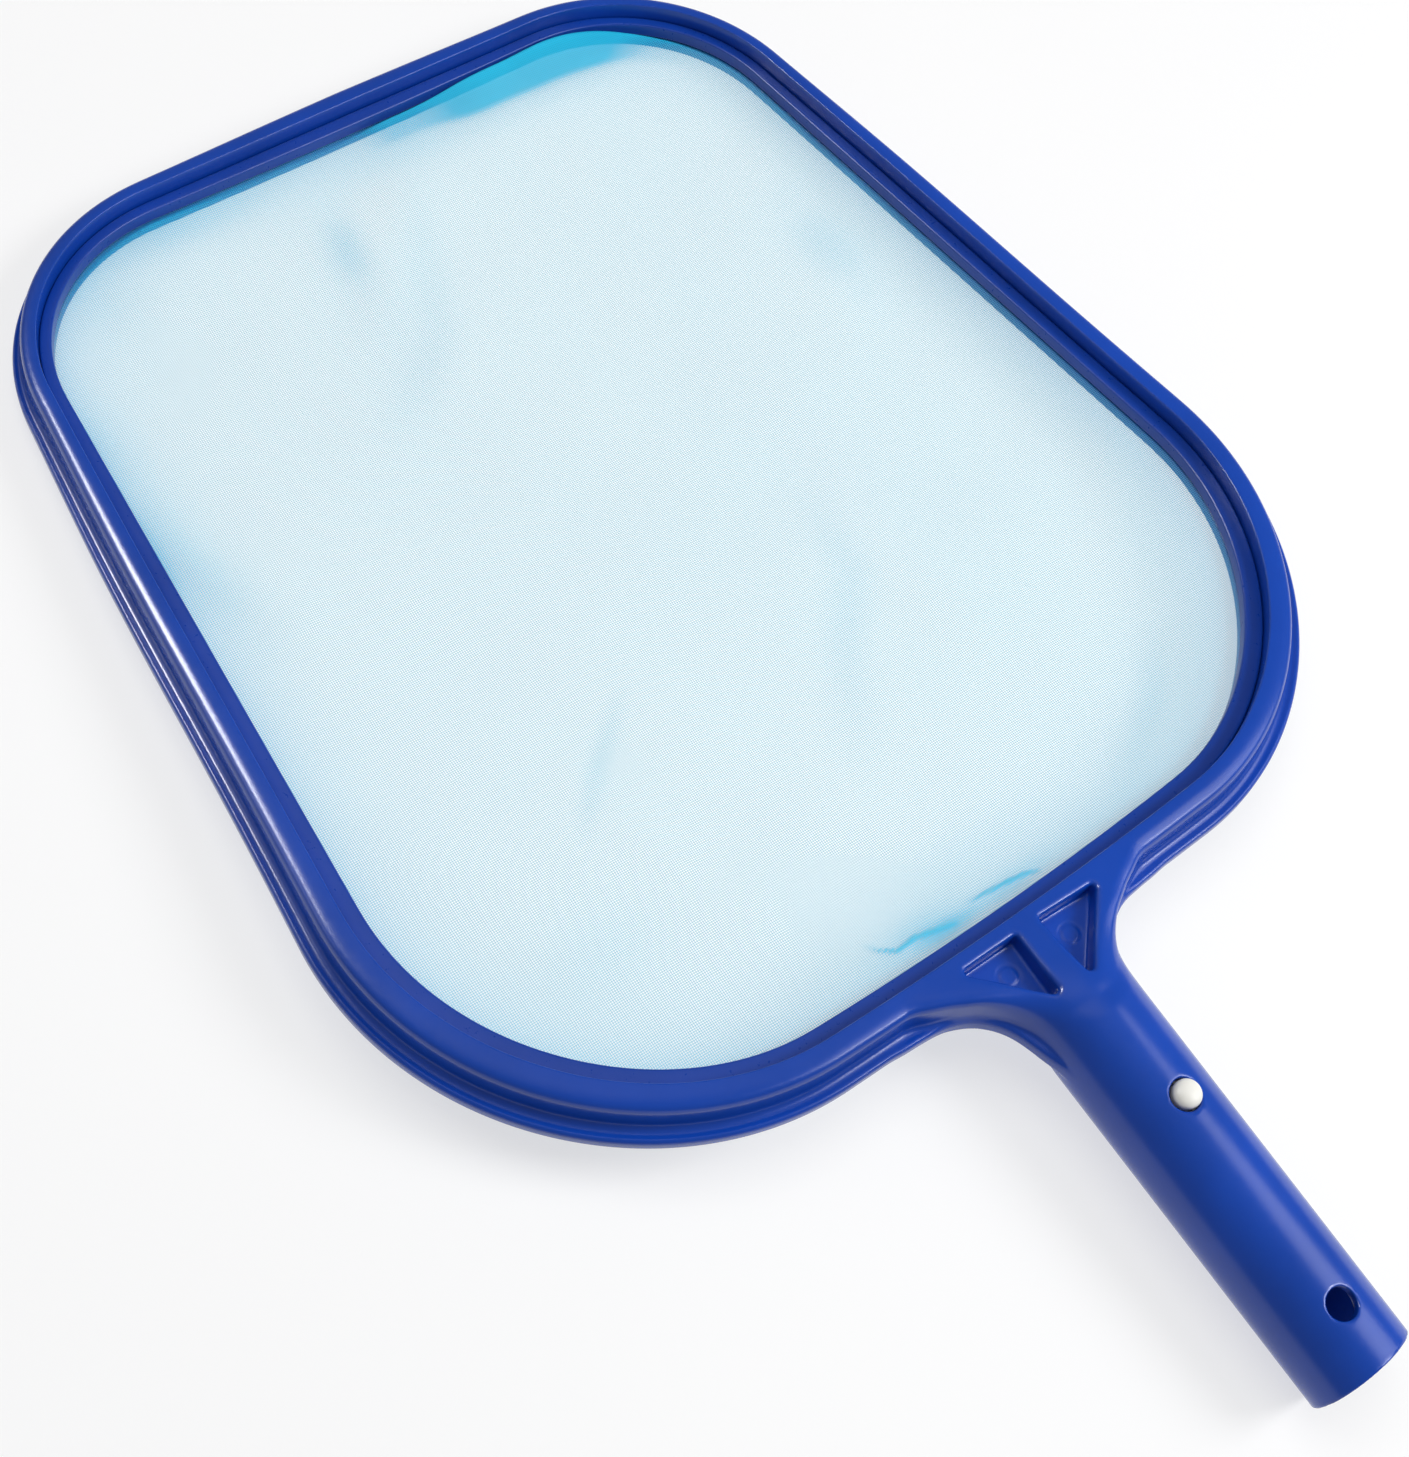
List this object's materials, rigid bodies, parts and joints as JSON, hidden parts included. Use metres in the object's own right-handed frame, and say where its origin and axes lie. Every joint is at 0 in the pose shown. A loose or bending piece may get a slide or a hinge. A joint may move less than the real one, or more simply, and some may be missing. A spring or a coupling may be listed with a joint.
{
  "type": "leaf skimmer net",
  "caption": "Flat leaf skimmer head with fine mesh in a rounded moulded frame and a short socket handle with snap buttons for a pole.",
  "frame": {"origin": "bottom centre of the whole object's box: midway across the head, midway between the handle's open end and the leading edge, at the height of the handle end's lowest point", "axes": "+Z out of the net's open side, square to the rim; +Y from the handle towards the leading edge; +X across the head"},
  "size_m": [0.3084, 0.4658, 0.0392],
  "materials": {
    "frame_plastic": "satin injection-moulded plastic, dark blue",
    "clamp_plastic": "satin injection-moulded plastic, dark blue",
    "net_fabric": "fine pale blue polyester mesh, about 1 mm pitch",
    "clip_nylon": "off-white nylon"
  },
  "bodies": {
    "frame": {"head_frame": "frame_plastic", "net_clamp_ring": "clamp_plastic", "net_panel": "net_fabric", "snap_clip_bend": "clip_nylon", "snap_clip_arm_upper": "clip_nylon", "snap_clip_arm_lower": "clip_nylon"},
    "upper_button": {"snap_button_upper": "clip_nylon"},
    "lower_button": {"snap_button_lower": "clip_nylon"}
  },
  "joints": [
    {"name": "upper_button_press", "type": "slide", "parent": "frame", "child": "upper_button", "axis": [0, 0.0946, -0.9955], "range_m": [0, 0.0064], "stiffness_N_per_m": 3000, "deforming": ["snap_clip_arm_upper"]},
    {"name": "lower_button_press", "type": "slide", "parent": "frame", "child": "lower_button", "axis": [0, -0.0946, 0.9955], "range_m": [0, 0.0064], "stiffness_N_per_m": 3000, "deforming": ["snap_clip_arm_lower"]}
  ]
}
